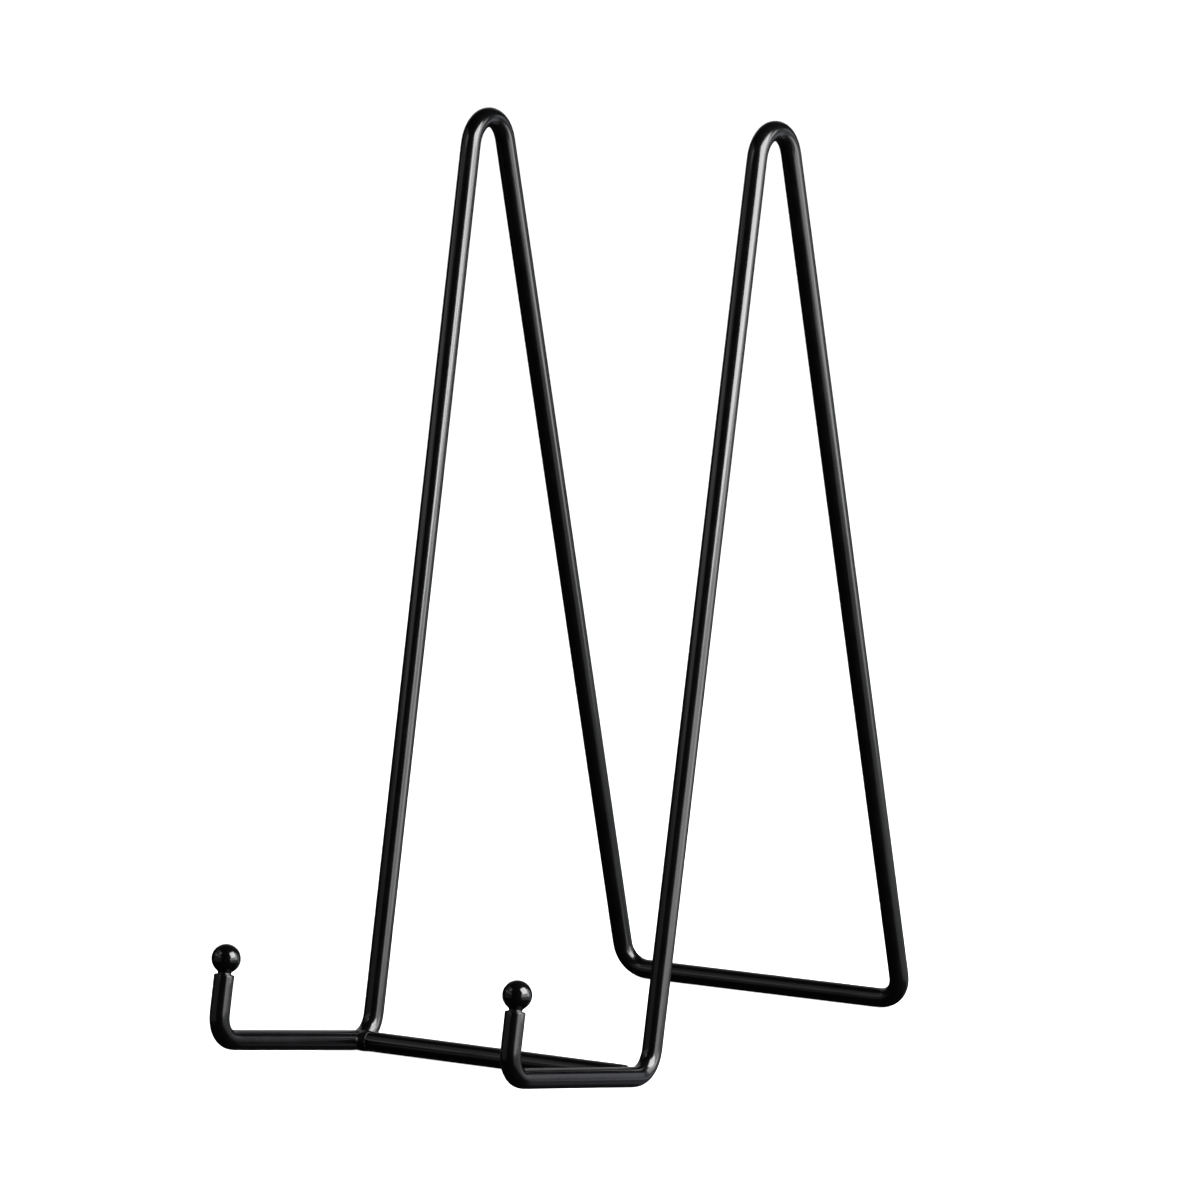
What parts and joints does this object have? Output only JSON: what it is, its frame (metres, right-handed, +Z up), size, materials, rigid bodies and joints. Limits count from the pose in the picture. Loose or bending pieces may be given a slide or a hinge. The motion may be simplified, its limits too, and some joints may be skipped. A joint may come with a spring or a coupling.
{
  "type": "photo album stand",
  "caption": "Free-standing easel of bent black rod that holds a photo album, plate or picture upright on its feet, leaning back on its legs behind ball-tipped hooks.",
  "frame": {"origin": "on the table, under the middle of the stand's bounding box", "axes": "+Z up, the album faces -Y, +X to the right of someone who looks at the album"},
  "size_m": [0.0815, 0.1586, 0.2024],
  "materials": {
    "rod_paint": "gloss black coat on steel rod",
    "ball_paint": "gloss black coat on a steel ball",
    "weld_paint": "gloss black coat over a small weld, a little uneven"
  },
  "bodies": {
    "root": {"frame_wire": "rod_paint", "front_crossbar": "rod_paint", "left_ball": "ball_paint", "right_ball": "ball_paint", "left_crossbar_weld": "weld_paint", "right_crossbar_weld": "weld_paint", "left_ball_weld": "weld_paint", "right_ball_weld": "weld_paint"}
  },
  "joints": []
}
